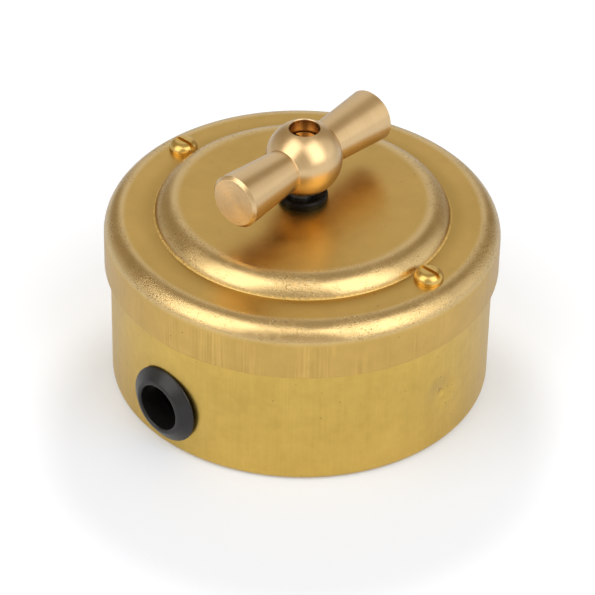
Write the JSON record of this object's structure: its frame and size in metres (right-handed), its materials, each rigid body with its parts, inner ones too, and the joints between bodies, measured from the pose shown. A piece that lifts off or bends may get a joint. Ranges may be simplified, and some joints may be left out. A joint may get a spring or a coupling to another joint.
{
  "type": "surface rotary light switch",
  "caption": "Round surface-mounted rotary switch: pressed brass cup and stepped cover, turned cross handle, side cable grommet and a quarter-turn change-over mechanism.",
  "frame": {"origin": "centre of the flat back face that lies on the wall", "axes": "+Z points out of the wall along the handle's turning axis; -Y is the way the cable leaves through its grommet; the handle lies along Y, turned a few degrees, at rest"},
  "size_m": [0.078, 0.0789, 0.0567],
  "materials": {
    "case_brass": "satin drawn brass, uncoated, with fine vertical draw lines",
    "handle_brass": "lathe-turned brass, fine circular tool marks",
    "screw_brass": "bright polished brass",
    "turned_brass": "plain turned brass",
    "contact_bronze": "rolled contact bronze strip",
    "steel": "zinc plated, dull",
    "spring_steel": "blued spring strip",
    "black_rubber": "satin black moulded rubber",
    "black_plastic": "satin black moulded plastic",
    "brown_plastic": "brown phenolic moulding",
    "white_ceramic": "white glazed porcelain"
  },
  "bodies": {
    "case": {"base_cup": "case_brass", "cover": "case_brass", "cover_screws": "screw_brass", "cover_pillar_right": "turned_brass", "cover_pillar_left": "turned_brass", "cable_grommet": "black_rubber", "spindle_bush": "black_plastic", "bush_nut": "turned_brass", "detent_spring_front": "spring_steel", "detent_spring_rear": "spring_steel", "spring_pins": "steel", "mechanism_base": "white_ceramic", "cap_posts": "turned_brass", "floor_bosses": "turned_brass", "mechanism_screws": "steel", "mechanism_cap": "steel", "cap_screws": "steel", "contact_right": "contact_bronze", "contact_rear": "contact_bronze", "contact_left": "contact_bronze", "contact_front": "contact_bronze", "common_link": "contact_bronze", "terminal_washers": "turned_brass", "terminal_screws": "screw_brass", "earth_terminal": "turned_brass", "earth_screw": "screw_brass"},
    "handle_and_spindle": {"handle": "handle_brass", "handle_washer": "steel", "handle_screw": "screw_brass", "spindle": "steel", "spindle_clip": "spring_steel", "detent_cam": "brown_plastic", "rotor": "brown_plastic", "rotor_collar": "brown_plastic", "contact_bridge": "contact_bronze"}
  },
  "joints": [
    {"name": "handle_turn", "type": "hinge", "parent": "case", "child": "handle_and_spindle", "pos_m": [0, 0, 0.04], "axis": [0, 0, 1], "continuous": true, "deforming": ["detent_spring_front", "detent_spring_rear"]}
  ]
}
